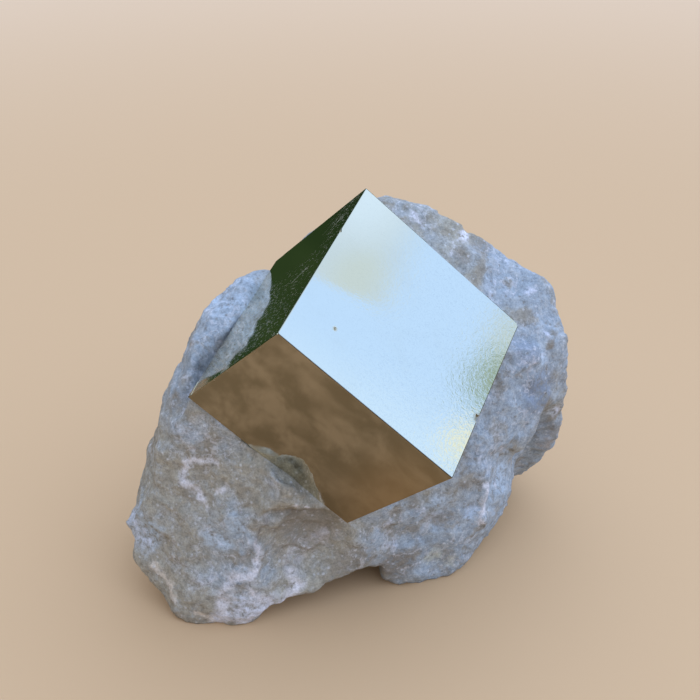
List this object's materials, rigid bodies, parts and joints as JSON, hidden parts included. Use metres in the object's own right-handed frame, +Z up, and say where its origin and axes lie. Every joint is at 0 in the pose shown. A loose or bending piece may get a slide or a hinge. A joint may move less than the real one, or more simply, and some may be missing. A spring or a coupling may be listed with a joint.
{
  "type": "pyrite on matrix",
  "caption": "Square-edged pyrite crystal with mirror-bright faces, leaning on a corner in a broken lump of grey marl that rests on flat patches.",
  "frame": {"origin": "on the surface that the specimen rests on, under the middle of its overall box", "axes": "+Z up; the open side of the stone, where the crystal leans out, faces -Y; +X is to the right as seen from that side, along the longest extent"},
  "size_m": [0.051, 0.044, 0.0468],
  "materials": {
    "marl": "matte",
    "pyrite": "polished"
  },
  "bodies": {
    "root": {"matrix_stone": "marl", "pyrite_crystal": "pyrite"}
  },
  "joints": []
}
